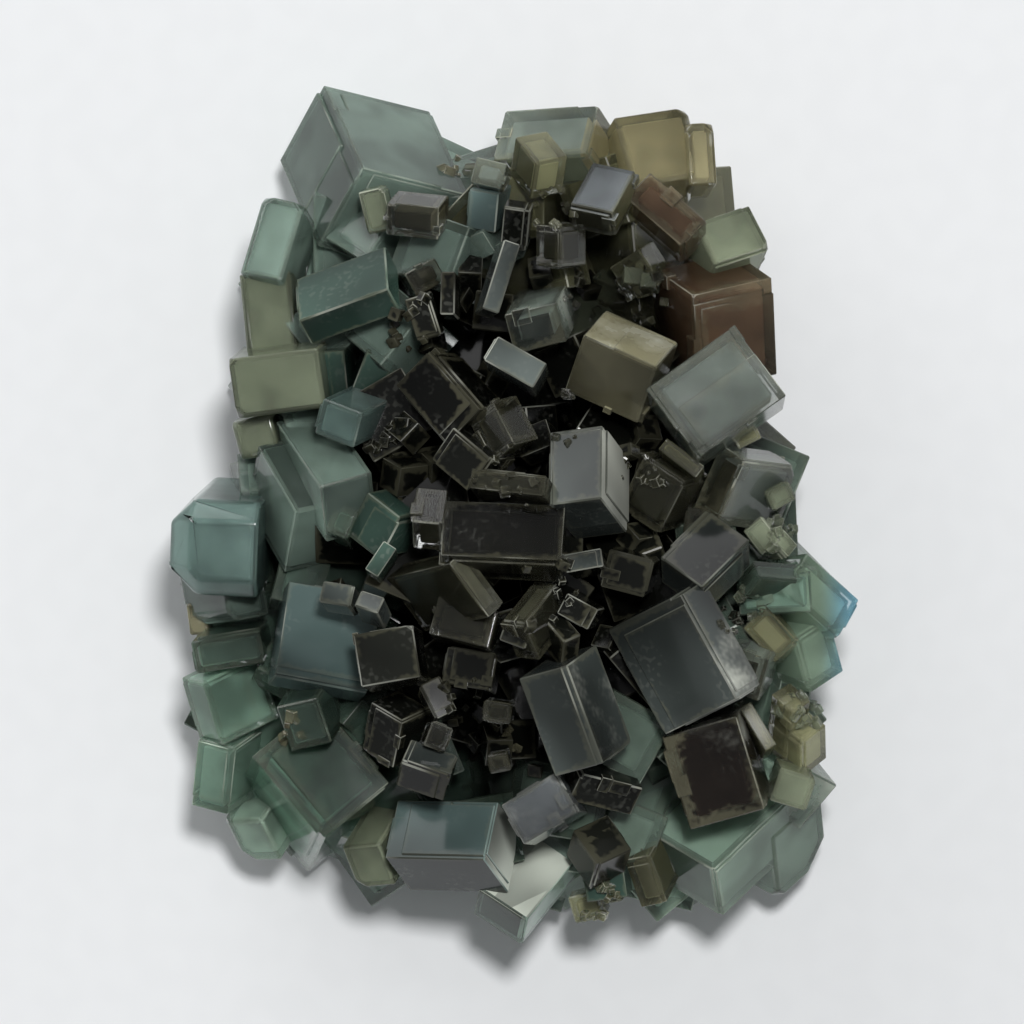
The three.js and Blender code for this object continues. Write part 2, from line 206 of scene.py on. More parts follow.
# Hidden cubes: pixels of their middles, under the rim, under the crown and at the cut
SKIRT = (
    (365, 195), (325, 265), (320, 325), (320, 400), (320, 480), (265, 550), (270, 635),
    (272, 710), (290, 765), (345, 795), (420, 815), (505, 840), (580, 830), (655, 830),
    (725, 820), (745, 760), (740, 700), (760, 640), (755, 590), (725, 520), (705, 440),
    (695, 350), (680, 285), (640, 215), (580, 195), (510, 215), (435, 215),
)
ROOTS = (
    (400, 260), (520, 260), (620, 260), (360, 380), (480, 380), (600, 380), (350, 520),
    (470, 520), (590, 520), (690, 520), (330, 650), (460, 650), (580, 650), (700, 650),
    (420, 770), (540, 780), (650, 780),
)
FEET = (
    (420, 330), (560, 330), (400, 480), (530, 480), (650, 480),
    (400, 640), (530, 640), (650, 640), (470, 740), (600, 740),
)
SKIRT_EDGE, SKIRT_CENTRE = 14.0, 8.5
ROOT_EDGE, ROOT_COVER = 22.0, 16.0
FOOT_EDGE, FOOT_CENTRE = 22.0, 8.5
FILL_COUNT, FILL_EDGE, FILL_SIZES, FILL_STEP = 46, 9.0, 4, 0.15
FILL_COVER, FILL_REACH, SPIRAL_START = 11.0, 0.8, 0.5
HIDDEN = ("skirt", "root", "foot", "fill")
HIDDEN_MARGIN = 1.2
ZONE_WEAR, ZONE_LIMIT, ZONE_ROUNDING = 0.25, 0.25, 0.8
OLIVE_FROM = 30.0  # mm towards the top of the picture
DARK_REACH = 0.62  # hidden cubes that end within this share of the way to the rim are smoky

# Small cubes in the gaps: how many places are tried, their edges in mm, how far out they stand, how far in
# mm below the dome a gap lies at the crown, and how much more at the rim, and how they vary and lean
GAP_TRIES = 520
GAP_EDGES = (2.2, 5.0)
GAP_REACH, GAP_DEPTH, RIM_DEPTH = 0.76, 5.0, 7.0
LOOSE_SIZES = (0.35, 1.0)
LOOSE_STRETCH = (0.6, 1.0)
LOOSE_TIPS = (0.3, 0.75)
LOOSE_LEANS = (-0.6, 0.6)

# Wear, in mm or as shares of an edge
BEVEL_SHARE = 0.25
WEAR_LIMIT, ROUND_LIMIT, ROUND_SEGMENTS = 0.3, 0.4, 5
WEAR_SPREAD, GROWTH_WEAR, LOOSE_WEAR = (0.6, 1.2), 0.4, 0.5
FLAT, FACING = 0.999, 0.9
CHIPPED_FROM, CHIP_COUNT, CHIP_DEPTHS = 6, (1, 2), (0.15, 0.55)
# Painted sheen: a lightening and darkening painted across each face
SHEEN_SLANT = 0.42  # how much lighter or darker a face grows towards its edge

# Growth steps: the crystals in mm that have them, how far they stand back from an edge and how deep they go
STEPS_FROM, TWO_STEPS_FROM = 2.6, 8
STEP_LIMIT, STEP_RISE = 0.05, 0.8
STEP_INSETS = ((0.04, 0.16), (0.04, 0.42))
STEP_LOW, STEP_HIGH = 0.45, 0.85
STEP_ROOT, FAR_ROOT, FAR_INSETS = 0.7, 0.4, (0.0, 0.3)

# Small growths along an edge: their depth and rise in mm, where they start, their length, how many are near
GROWTHS_FROM, GROWTH_COUNT = 3.5, (1, 3)
GROWTH_DEPTHS, GROWTH_RISES = (0.5, 2.4), (0.03, 0.16)
GROWTH_STARTS, GROWTH_LENGTHS, GROWTH_NEAR = (0.08, 0.55), (0.10, 0.35), 0.6

# Colours of the crystals whose faces are smooth, without small growths along their edges
SMOOTH = ("sea", "steel", "teal", "blue", "mint", "sage", "green", "slate")

# Radius in mm of crystals whose edges are worn or broken round
ROUNDED = {
    "w_blue": 0.35, "w_olive": 0.3, "w_rust": 0.3, "w_knob": 0.4, "broken_top": 0.5, "broken_low": 0.5,
    "sw_foot": 0.4, "se_pale": 0.4, "ne_amber": 0.35, "ne_amber_low": 0.35, "s_olive": 0.35,
    "n_olive": 0.3, "tan_bit": 0.4, "e_crust": 0.3,
}

# Corners and edges broken off: their sides along the three edges, near -1 and far 1, and the depth in mm
BROKEN = {
    "broken_top": (
        ((-1, 1, 1), 3.6), ((-1, -1, 1), 3.0), ((-1, 0, 1), 2.0), ((-1, 1, 0), 1.6), ((-1, -1, 0), 1.6),
        ((0, 1, 1), 2.4), ((0, -1, 1), 2.2),
    ),
    "broken_low": (((-1, 1, 1), 2.4), ((-1, 1, 0), 0.9), ((-1, 0, 1), 0.9)),
    "w_blue": (((1, -1, -1), 0.8), ((1, 1, -1), 0.9), ((0, 1, -1), 0.4)),
    "w_olive": (((1, 1, -1), 0.7), ((1, 0, -1), 0.4)),
    "w_rust": (((1, -1, -1), 0.5), ((1, 1, -1), 0.9), ((0, 1, -1), 0.3)),
    "w_knob": (((1, 1, -1), 1.0), ((1, -1, -1), 0.8), ((1, 0, -1), 0.5)),
    "sw_foot": (((1, 1, -1), 1.4), ((1, -1, -1), 0.7), ((1, 0, -1), 0.6)),
    "se_pale": (((-1, 1, 1), 2.2), ((-1, 1, -1), 0.9), ((-1, -1, 1), 0.8)),
    "ne_amber": (((1, 1, -1), 0.9), ((-1, 1, -1), 0.6), ((0, 1, -1), 0.4)),
    "ne_amber_low": (((1, 1, -1), 0.7), ((1, -1, -1), 0.5)),
    "s_olive": (((1, 1, -1), 0.8),),
    "nw_large": (((-1, -1, -1), 0.9), ((-1, 1, 1), 0.5)),
    "e_step": (((-1, 1, -1), 0.8),),
    "ne_green": (((-1, 1, -1), 0.5),),
}

# Painted light and shade: how light a crystal's three near faces are, which stand across its first, second
# and third edge, partly a painted sheen or shade and partly zoning, or the colour that a face has instead
FACE_LIGHT_AND_SHADE = {
    "nw_large": (0.8, 0.45, 0.72), "s_block": (2, 0.15, 1), "l_slab": (1.1, 0.9, 0.35),
    "mid_blue": (1, 1, 2.1), "n_lilac": ("umber", "olive", 1.9), "w_low": (0.5, 0.5, 0.45),
    "sw_cap": (0.5, 0.5, 0.5), "broken_low": (0.45, 0.5, 0.45), "e_glass": (1.2, 0.1, 2),
    "se_mint": (0.9, 0.45, 1.6), "se_pale": (0.8, 0.8, 0.8), "l_plate": (0.8, 0.8, 0.9),
    "e_teal": (0.9, 0.9, 1.9), "e_teal_top": (0.5, 0.5, 0.5), "l_green": (0.6, 0.6, 0.6),
    "core_step": (0.6, 0.3, 0.2), "sw_glass": (1.3, 2.5, 1.4), "l_roof": (0.6, 1.25, 1.1),
    "ne_steps": (0.8, 0.8, 2.3), "mirror": (1, 1.6, 1), "e_plate": (1, 1, 0.35),
    "mid_dark": (0.4, 0.4, 0.4), "s_white": (1.8, 0.25, 1.1), "e_step": (0.8, "umber", 0.65),
    "n_blue": ("amber", "sage", 1.3), "se_brown": (1, 1, 0.7), "n_olive": (2.6, 0.7, 1.6),
    "ne_amber": (1, 1, 0.75), "w_tile": (0.7, 1, 0.8), "sw_green": (1.6, 2.6, 0.75),
    "e_olive": (1.7, 1.7, 1.7), "e_tan": (1.3, 1.3, 1.4), "e_side": (1.3, 1.3, 1.2),
    "e_shard": (1.4, 1.4, 1.9), "e_nub_a": (1.2, 1.2, 1.3), "e_nub_b": (1.2, 1.2, 1.9),
    "e_ledge": (1.2, 1.2, 1.4), "n_grey": (1, 1, 1.3), "blade": (1, 1, 1.6),
    "mid_grey": (2.2, 0.2, 2.4), "mid_cube": (1, 1, 2.5), "slope_right": (1, 1, 4.5),
    "slope": (1, 4.5, 1), "core_wing": (1, 1, 0.3), "teal_block": (1.9, 0.6, 1), "ne_red": (1, 1, 1.4),
    "olive_band": (0.7, 0.7, 0.6), "s_small_b": (0.6, 0.6, 0.5), "n_box": ("tan", 1, 1),
    "sw_cube": (1, 1, "slate"), "s_dark": (1, 1, 2.2), "dark_c": (1, 1, "slate"),
    "sw_foot": (1.3, 1.3, 1.4), "dark_square": (1, 1, 2.5), "ne_ledge": (1, 1, 1.6),
    "s_small_c": (1, 1, 1.6),
}

# How much frosting lies on the same three faces
FROSTED = {
    "s_white": (0, 0.1, 0.90), "centre_long": (0.32, 0, 0.1), "centre_big": (0.3, 0, 0.12),
    "s_block": (1, 0.05, 0), "ne_steps": (0, 0.1, 0.35), "ne_frost": (0.1, 0.1, 0.22),
    "mirror": (0, 0.80, 0), "e_plate": (0.2, 0.2, 0.12), "s_lilac": (0.2, 0.2, 0.3),
    "e_crust": (0.45, 0.45, 0.45), "l_plate": (0.1, 0.1, 0.3), "e_tan": (0.3, 0.3, 0.45),
    "core_step": (0, 0.2, 0.12), "slope": (0.1, 0.3, 0.12), "se_brown": (0.3, 0.3, 0.18),
    "sw_glass": (0.2, 0.1, 0.3), "n_box": (0.1, 0.2, 0.3), "mid_grey": (0.4, 0.1, 0.1),
}

# Loose growth of small cubes: pixel of the middle, reach in pixels, count, largest edge in mm, colour
DRUSE = (
    ((628, 284), 36, 30, 2.0, "umber"), ((652, 300), 24, 12, 1.8, "olive"),
    ((556, 214), 24, 12, 1.7, "olive"), ((497, 746), 26, 20, 1.5, "tan"),
    ((798, 712), 22, 16, 1.7, "sage"), ((458, 166), 16, 10, 1.7, "tan"),
    ((388, 440), 20, 12, 1.6, "umber"), ((782, 532), 20, 14, 1.8, "sage"),
    ((728, 618), 14, 9, 1.5, "umber"), ((600, 902), 22, 12, 1.6, "olive"),
    ((290, 728), 16, 8, 1.6, "amber"), ((590, 300), 30, 14, 1.8, "umber"),
    ((508, 480), 34, 14, 1.4, "umber"), ((545, 590), 40, 14, 1.5, "smoke"),
    ((420, 330), 30, 12, 1.9, "smoke"), ((640, 470), 26, 12, 1.6, "umber"),
    ((470, 700), 32, 14, 1.6, "smoke"), ((748, 600), 20, 10, 1.6, "sage"),
    ((560, 420), 26, 10, 1.5, "umber"),
)

# How cloudy a colour is at the surface, where 2 is opaque, how pale the frame along its edges is, the
# frame's width in mm, and the clear margin in mm round the coloured zone sealed inside
CLOUDS = {
    "smoke": (2.00, 0.25, 0.7, 0.40), "slate": (2.00, 0.25, 0.7, 0.40), "umber": (0.28, 0.45, 0.9, 1.1),
    "teal": (2.00, 0.30, 0.5, 0.6), "brown": (0.35, 0.70, 1.4, 1.3), "steel": (2.00, 0.20, 0.5, 0.5),
    "cocoa": (0.40, 0.80, 1.5, 1.4), "moss": (0.30, 0.50, 1.2, 1.6), "frost": (0.35, 0.60, 1.4, 1.4),
    "lilac": (0.45, 0.40, 0.6, 0.6), "sea": (0.38, 0.25, 0.6, 0.7), "blue": (0.40, 0.20, 0.5, 0.8),
    "sage": (0.38, 0.30, 0.6, 0.6), "mint": (0.30, 0.35, 0.9, 0.9), "green": (0.28, 0.40, 1.0, 0.9),
    "olive": (0.35, 0.45, 0.8, 0.9), "amber": (0.30, 0.40, 0.8, 1.0), "tan": (0.60, 0.30, 0.4, 0.4),
    "aqua": (0.34, 0.15, 0.6, 1.4),
}


def colour_property(label, words, red, green, blue):
    """A colour that a user can change, as it looks on a screen."""
    return bpy.props.FloatVectorProperty(
        name=label,
        description=words,
        subtype="COLOR_GAMMA",
        size=3,
        min=0.0,
        max=1.0,
        default=(red / 255, green / 255, blue / 255),
    )


class FluoriteColours(bpy.types.PropertyGroup):
    """Colours of the zones sealed in the crystals"""

    smoke: colour_property("Smoke", "Near-black zones in the middle", 15, 16, 13)
    slate: colour_property("Slate", "Dark blue-grey zones", 56, 61, 59)
    umber: colour_property("Umber", "Dark olive-brown zones", 42, 42, 33)
    steel: colour_property("Steel", "Grey-green zones", 78, 94, 92)
    teal: colour_property("Teal", "Dark sea-green zones", 48, 67, 59)
    brown: colour_property("Brown", "Red-brown zones on the right", 84, 66, 50)
    cocoa: colour_property("Cocoa", "Dark brown zone at the lower right", 36, 29, 24)
    moss: colour_property("Moss", "Dark green zone at the lower left", 58, 82, 68)
    frost: colour_property("Frost", "Grey zones with a clear frame", 109, 118, 110)
    lilac: colour_property("Lilac", "Grey-purple zones", 92, 96, 98)
    sea: colour_property("Sea", "Pale sea-green zones round the rim", 123, 142, 131)
    blue: colour_property("Blue", "Pale blue-green zones", 100, 122, 116)
    sage: colour_property("Sage", "Pale olive-green zones", 124, 132, 110)
    mint: colour_property("Mint", "Clear green zones at the corners", 115, 134, 120)
    green: colour_property("Green", "Green zones at the lower left", 98, 121, 107)
    olive: colour_property("Olive", "Olive zones on the right", 106, 106, 80)
    amber: colour_property("Amber", "Yellow-brown zones at the upper right", 140, 133, 100)
    tan: colour_property("Tan", "Pale brown growth in the gaps", 106, 103, 82)
    aqua: colour_property("Aqua", "Clear blue-green crystals on the right", 126, 146, 126)


class FluoriteSizes(bpy.types.PropertyGroup):
    """Sizes of the crystals' finish"""

    edge_wear: bpy.props.FloatProperty(
        name="Edge wear",
        description="Width of the worn strip along each crystal edge",
        default=0.17 * MM,
        unit="LENGTH",
    )
    growth_step: bpy.props.FloatProperty(
        name="Growth step",
        description="Height of the largest growth step on a face",
        default=0.24 * MM,
        unit="LENGTH",
    )
    seed: bpy.props.IntProperty(
        name="Seed",
        description="Picks one layout of the growth steps and small crystals",
        default=7,
    )


def linear(colour):
    """A screen colour as light."""
    return [c / 12.92 if c <= 0.04045 else ((c + 0.055) / 1.055) ** 2.4 for c in colour]


def zone_colour(name):
    """The light colour of a zone."""
    return linear(getattr(bpy.context.scene.fluorite_colours, name))


# Where the crystals stand


def plane_point(pixel):
    """A point of the photograph in the part's plane, in millimetres."""
    return Vector(((pixel[0] - MIDDLE_X) * MM_PER_PIXEL, (MIDDLE_Y - pixel[1]) * MM_PER_PIXEL, 0))


def reach_of(point):
    """How far out a point lies, as a share of the way to the rim."""
    return math.hypot(point.x / HALF_WIDTH, point.y / HALF_LENGTH)


def dome_height(point):
    """Height of the cluster's dome over a point of the plane."""
    return CROWN_HEIGHT - RIM_DROP * reach_of(point) ** 2


def drop_product(a, b):
    """What the drops of two edges of a square corner multiply to, from how they lean apart."""
    return max(-a.dot(b), LEAST_LEAN * a.length * b.length)


def crystal_edges(near, ends, third):
    """The three edges that leave a crystal's near corner, square to each other."""
    a, b = (plane_point(end) - near for end in ends)
    ab = drop_product(a, b)
    if not isinstance(third, tuple):
        ratio = math.sqrt(a.length / b.length)
        a.z = -math.sqrt(ab) * ratio
        b.z = -math.sqrt(ab) / ratio
        inward = a.cross(b).normalized()
        return a, b, inward * (-math.copysign(third * MM_PER_PIXEL, inward.z))
    c = plane_point(third) - near
    ac, bc = drop_product(a, c), drop_product(b, c)
    a.z = -math.sqrt(ab * ac / bc)
    b.z = -math.sqrt(ab * bc / ac)
    c.z = -math.sqrt(ac * bc / ab)
    return a, b, c


class Crystal:
    """A crystal's own axes, with the near corner at zero and the lengths of its edges."""

    def __init__(self, row):
        self.name, lift, corner, end_a, end_b, third, self.tint = row
        near = plane_point(corner)
        edges = crystal_edges(near, (end_a, end_b), third)
        near.z = dome_height(near) + lift
        self.lengths = Vector([edge.length for edge in edges])
        u = edges[0].normalized()
        w = u.cross(edges[1]).normalized()
        v = w.cross(u)
        self.inward = math.copysign(1, w.dot(edges[2]))
        self.place(near, Matrix((u, v, w)).transposed())

    def place(self, near, turn):
        """Keeps where the near corner stands and how the crystal is turned."""
        self.frame = Matrix.Translation(near) @ turn.to_4x4()

    def corners(self):
        """The crystal's eight corners."""
        steps = (0, 1)
        size = self.lengths
        return [
            self.frame @ Vector((size.x * i, size.y * j, size.z * k * self.inward))
            for i in steps
            for j in steps
            for k in steps
        ]


class HiddenCube(Crystal):
    """A cube that carries the visible ones, turned and leaning by its place in the row."""

    def __init__(self, name, pixel, edge, height, index):
        self.name = name
        self.lengths = Vector((edge, edge, edge))
        self.inward = 1
        middle = plane_point(pixel)
        middle.z = height(middle)
        lean = Matrix.Rotation(math.radians(LEANS[index % len(LEANS)]), 3, "X")
        turn = Matrix.Rotation(math.radians(index * TURN_STEP), 3, "Z") @ lean
        self.place(middle - turn @ (self.lengths / 2), turn)
        self.tint = self.gap_tint(middle)

    def gap_tint(self, middle):
        """Smoky in the middle, and as pale as its neighbours near the rim."""
        if reach_of(middle) + self.lengths.x / 2 / HALF_WIDTH < DARK_REACH:
            return "smoke"
        if middle.x < 0:
            return "sea" if middle.y > 0 else "green"
        if middle.y > OLIVE_FROM:
            return "olive"
        return "sage" if middle.y > 0 else "mint"


def fill_pixel(index):
    """A point on a sunflower spiral over the dome."""
    reach = FILL_REACH * math.sqrt((index + SPIRAL_START) / FILL_COUNT)
    turn = math.radians(index * TURN_STEP)
    across = reach * HALF_WIDTH * math.cos(turn) / MM_PER_PIXEL
    along = reach * HALF_LENGTH * math.sin(turn) / MM_PER_PIXEL
    return MIDDLE_X + across, MIDDLE_Y + along


def hidden_cubes():
    """The cubes under the rim, under the crown, at the cut and in the gaps."""
    rows = [
        ("skirt", SKIRT, lambda i: SKIRT_EDGE, lambda p: SKIRT_CENTRE),
        ("root", ROOTS, lambda i: ROOT_EDGE, lambda p: dome_height(p) - ROOT_COVER - ROOT_EDGE / 2),
        ("foot", FEET, lambda i: FOOT_EDGE, lambda p: FOOT_CENTRE),
        (
            "fill",
            [fill_pixel(i) for i in range(FILL_COUNT)],
            lambda i: FILL_EDGE * (1 - FILL_STEP * (i % FILL_SIZES)),
            lambda p: dome_height(p) - FILL_COVER,
        ),
    ]
    return [
        HiddenCube(name, pixel, edge(i), height, i)
        for name, pixels, edge, height in rows
        for i, pixel in enumerate(pixels)
    ]


def visible_crystals():
    """The crystals read from the photograph."""
    return [Crystal(row) for row in CRYSTALS]


def standing_shift():
    """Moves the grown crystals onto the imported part, whose origin is under the middle of its box."""
    corners = [corner for crystal in visible_crystals() for corner in crystal.corners()]
    middle_x = (min(c.x for c in corners) + max(c.x for c in corners)) / 2
    middle_y = (min(c.y for c in corners) + max(c.y for c in corners)) / 2
    return Matrix.Scale(MM, 4) @ Matrix.Translation((-middle_x, -middle_y, -SAW_CUT))


# Blocks and bodies

# Kept on each face: its colour, with painted light and shade, and cloudiness, whether it is a worn edge,
# its frosting, half its length and width with the width of its pale frame in mm, how pale the frame is, and
# the painted sheen by which its colour lightens across it
FACE_LAYERS = (
    ("tint", "FLOAT_COLOR"),
    ("edge", "FLOAT"),
    ("frost", "FLOAT"),
    ("half", "FLOAT_VECTOR"),
    ("rind", "FLOAT"),
    ("slant", "FLOAT_VECTOR"),
)


def deselect():
    """Clears the selection, so that an operator acts only on what is made next."""
    bpy.ops.object.select_all(action="DESELECT")


class WornCube:
    """A cube with worn edges, modelled once, whose copies are stretched with the wear kept as it is."""

    def __init__(self):
        deselect()
        bpy.ops.mesh.primitive_cube_add(size=2)
        cube = bpy.context.object
        bpy.ops.object.mode_set(mode="EDIT")
        bpy.ops.mesh.select_all(action="SELECT")
        bpy.ops.mesh.bevel(offset=BEVEL_SHARE, segments=1, affect="EDGES")
        bpy.ops.object.mode_set(mode="OBJECT")
        self.mesh = cube.data
        bpy.data.objects.remove(cube)
        for name, kind in FACE_LAYERS:
            self.mesh.attributes.new(name, kind, "FACE")
        self.signs = [[math.copysign(1, c) for c in vertex.co] for vertex in self.mesh.vertices]
        whole = 1 - BEVEL_SHARE / 2
        self.worn = [[abs(c) < whole for c in vertex.co] for vertex in self.mesh.vertices]

    def copy(self, size, wear):
        """A copy with its own mesh, at a size in the crystal's own axes."""
        mesh = self.mesh.copy()
        places = []
        for signs, worn in zip(self.signs, self.worn):
            places += [sign * (side / 2 - wear * inset) for sign, side, inset in zip(signs, size, worn)]
        mesh.vertices.foreach_set("co", places)
        mesh.update()
        return bpy.data.objects.new("block", mesh)


def carved_block(size, wear, rounded, chips, flip):
    """A block with corners knocked off or with round edges, shaped by hand from a cube."""
    deselect()
    bpy.ops.mesh.primitive_cube_add(size=1, scale=size)
    block = bpy.context.object
    bpy.ops.object.mode_set(mode="EDIT")
    bpy.ops.mesh.select_all(action="SELECT")
    for corner, depth in chips:
        outward = (Vector(corner) * flip).normalized()
        point = size * Vector(corner) * flip / 2 - outward * depth
        bpy.ops.mesh.bisect(plane_co=point, plane_no=outward, use_fill=True, clear_outer=True)
        bpy.ops.mesh.select_all(action="SELECT")
    bpy.ops.mesh.bevel(offset=rounded or wear, segments=ROUND_SEGMENTS if rounded else 1, affect="EDGES")
    bpy.ops.object.mode_set(mode="OBJECT")
    for name, kind in FACE_LAYERS:
        block.data.attributes.new(name, kind, "FACE")
    for collection in list(block.users_collection):
        collection.objects.unlink(block)
    return block


def add_block(worn_cube, low, high, crystal, shift, wear, rounded=0.0, chips=(), frost=(0, 0, 0)):
    """One block of a crystal, in the crystal's own axes, with its finish kept on its faces."""
    flip = Vector((1, 1, crystal.inward))
    low, high = Vector(low), Vector(high)
    middle = (low + high) / 2 * flip
    size = high - low
    wear = min(wear, min(size) * WEAR_LIMIT)
    rounded = min(rounded, min(size) * ROUND_LIMIT)
    if rounded or chips:
        block = carved_block(size, wear, rounded, chips, flip)
    else:
        block = worn_cube.copy(size, wear)
    offset = middle - crystal.lengths * flip / 2
    mark_faces(block.data, size, offset, flip, crystal, frost, rounded)
    block.data.transform(shift @ crystal.frame @ Matrix.Translation(middle))
    return block


def mark_faces(mesh, size, offset, flip, crystal, frost, rounded):
    """Keeps the finish of a block on its faces, and where each point lies on its face in mm."""
    cloudy, rind, width, _ = CLOUDS[crystal.tint]
    count = len(mesh.polygons)
    painted_face_shades = FACE_LIGHT_AND_SHADE.get(crystal.name, (1.0, 1.0, 1.0))
    colour = Vector(zone_colour(crystal.tint))
    chance = random.Random(crystal.name)
    edges, frosts, halves, tints, sheen_slants = [], [], [], [], []
    places = [0.0] * (2 * len(mesh.loops))
    for face in mesh.polygons:
        toward = [-component * sign for component, sign in zip(face.normal, flip)]
        across = max(range(3), key=lambda k: abs(toward[k]))
        flat = abs(toward[across]) > FLAT
        face.use_smooth = bool(rounded) and not flat
        edges.append(0.0 if flat or rounded else 1.0)
        frosts.append(frost[across] if toward[across] > FACING else 0.0)
        # Painted light and shade: each near face is made lighter or darker, partly as a painted sheen
        shade = painted_face_shades[across] if toward[across] > 0 else 1.0
        named = isinstance(shade, str)
        tints += [*(zone_colour(shade) if named else colour * shade), cloudy]
        one, two = (k for k in range(3) if k != across)
        halves += [size[one] / 2, size[two] / 2, width]
        # Painted sheen: a gradient painted across the face, in a random direction
        turn = chance.uniform(0, math.tau)
        rise_one = 2 * SHEEN_SLANT * math.cos(turn) / crystal.lengths[one]
        rise_two = 2 * SHEEN_SLANT * math.sin(turn) / crystal.lengths[two]
        sheen_slants += [rise_one, rise_two, rise_one * offset[one] + rise_two * offset[two]]
        for loop in face.loop_indices:
            point = mesh.vertices[mesh.loops[loop].vertex_index].co
            places[2 * loop] = point[one]
            places[2 * loop + 1] = point[two]
    layers = mesh.attributes
    layers["tint"].data.foreach_set("color", tints)
    layers["edge"].data.foreach_set("value", edges)
    layers["frost"].data.foreach_set("value", frosts)
    layers["half"].data.foreach_set("vector", halves)
    layers["rind"].data.foreach_set("value", [rind] * count)
    layers["slant"].data.foreach_set("vector", sheen_slants)
    mesh.uv_layers.active.data.foreach_set("uv", places)


def grown_together(name, blocks):
    """Joins blocks in one piece, in which blocks that touch no other stay bodies of their own."""
    body = blocks[0]
    bpy.context.collection.objects.link(body)
    unite(body, "UNION", blocks[1:])
    body.name = body.data.name = name
    return body


def unite(body, operation, blocks):
    """Adds blocks to a body, or takes them off it."""
    group = bpy.data.collections.new("blocks")
    bpy.context.scene.collection.children.link(group)
    for block in blocks:
        group.objects.link(block)
    union = body.modifiers.new("grow", "BOOLEAN")
    union.operation = operation
    union.operand_type = "COLLECTION"
    union.collection = group
    union.solver = "MANIFOLD"
    deselect()
    bpy.context.view_layer.objects.active = body
    body.select_set(True)
    bpy.ops.object.modifier_apply(modifier=union.name)
    bpy.data.batch_remove([block.data for block in blocks])
    bpy.data.collections.remove(group)


SAW_SIZE = (300, 300, 60)
SAWN_TINT = (0.14, 0.16, 0.13, 0.8)


def saw_flat(body):
    """Cuts a body off flat at the shelf."""
    saw = carved_block(Vector(SAW_SIZE) * MM, MM, 0.0, (), Vector((1, 1, 1)))
    count = len(saw.data.polygons)
    saw.data.attributes["tint"].data.foreach_set("color", SAWN_TINT * count)
    saw.data.transform(Matrix.Translation((0, 0, -SAW_SIZE[2] * MM / 2)))
    unite(body, "DIFFERENCE", [saw])


def near_step(crystal, core, axis, layer, drop, chance):
    """A growth step on a near face, set back from some of its edges."""
    size = crystal.lengths
    low, high = core[0].copy(), core[1].copy()
    for other in range(3):
        if other == axis:
            continue
        side = chance.random()
        inset = size[other] * chance.uniform(*STEP_INSETS[layer])
        if side < STEP_LOW:
            low[other] += inset
        elif side < STEP_HIGH:
            high[other] -= inset
    low[axis] = -layer * drop * STEP_RISE
    high[axis] = size[axis] * STEP_ROOT
    return low, high


def far_step(crystal, core, axis, chance):
    """A growth step on a far face."""
    size = crystal.lengths
    low, high = core[0].copy(), core[1].copy()
    for other in range(3):
        if other != axis:
            low[other] += size[other] * chance.uniform(*FAR_INSETS)
            high[other] -= size[other] * chance.uniform(*FAR_INSETS)
    low[axis] = size[axis] * FAR_ROOT
    high[axis] = size[axis]
    return low, high


def terraces(crystal, chance, step):
    """Low and high corners of a crystal's growth steps, which stand on a core a step below its faces."""
    size = crystal.lengths
    small = min(size)
    drop = min(step, small * STEP_LIMIT)
    core = (Vector((drop,) * 3), size - Vector((drop,) * 3))
    blocks = [core]
    if small < STEPS_FROM:
        return blocks
    most = 1 if small < TWO_STEPS_FROM else 2
    for axis in range(3):
        for layer in range(chance.randint(0, most)):
            blocks.append(near_step(crystal, core, axis, layer, drop, chance))
        blocks.append(far_step(crystal, core, axis, chance))
    return blocks


def side_growths(crystal, chance):
    """Low and high corners of small parallel crystals that straddle a crystal's edges."""
    size = crystal.lengths
    blocks = []
    if min(size) < GROWTHS_FROM or crystal.tint in SMOOTH:
        return blocks
    for _ in range(chance.randint(*GROWTH_COUNT)):
        low, high = Vector((0, 0, 0)), Vector((0, 0, 0))
        along = chance.randrange(3)
        for axis in range(3):
            deep = chance.uniform(*GROWTH_DEPTHS)
            proud = chance.uniform(*GROWTH_RISES)
            if axis == along:
                low[axis] = size[axis] * chance.uniform(*GROWTH_STARTS)
                high[axis] = low[axis] + size[axis] * chance.uniform(*GROWTH_LENGTHS)
            elif chance.random() < GROWTH_NEAR:
                low[axis] = -proud
                high[axis] = deep
            else:
                low[axis] = size[axis] - deep
                high[axis] = size[axis] + proud
        blocks.append((low, high))
    return blocks


def corner_chips(crystal, chance):
    """A few small corners knocked off a larger crystal."""
    if min(crystal.lengths) < CHIPPED_FROM:
        return []
    corners = [(i, j, k) for i in (-1, 1) for j in (-1, 1) for k in (-1, 1)]
    picked = chance.sample(corners, chance.randint(*CHIP_COUNT))
    return [(corner, chance.uniform(*CHIP_DEPTHS)) for corner in picked]


def grow(worn_cube, crystal, chance, sizes, shift):
    """The blocks of one crystal."""
    rounded = ROUNDED.get(crystal.name, 0.0)
    frost = FROSTED.get(crystal.name, (0, 0, 0))
    wear = sizes.edge_wear / MM
    chips = list(BROKEN.get(crystal.name, ()))
    if rounded:
        size = crystal.lengths
        return [add_block(worn_cube, (0, 0, 0), size, crystal, shift, wear, rounded, chips, frost)]
    chips += corner_chips(crystal, chance)
    blocks = []
    for low, high in terraces(crystal, chance, sizes.growth_step / MM):
        worn = wear * chance.uniform(*WEAR_SPREAD)
        blocks.append(add_block(worn_cube, low, high, crystal, shift, worn, 0.0, chips, frost))
        chips = ()
    for low, high in side_growths(crystal, chance):
        blocks.append(add_block(worn_cube, low, high, crystal, shift, wear * GROWTH_WEAR, frost=frost))
    return blocks


def landing(pixel, shift):
    """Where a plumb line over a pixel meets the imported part, in the crystals' own frame, or None."""
    carrier = frame["nodes"][CLUSTER_NODE]
    above = shift @ (plane_point(pixel) + Vector((0, 0, 2 * CROWN_HEIGHT)))
    hit, spot, _, _ = carrier.ray_cast(above, Vector((0, 0, -1)))
    return shift.inverted() @ spot if hit else None


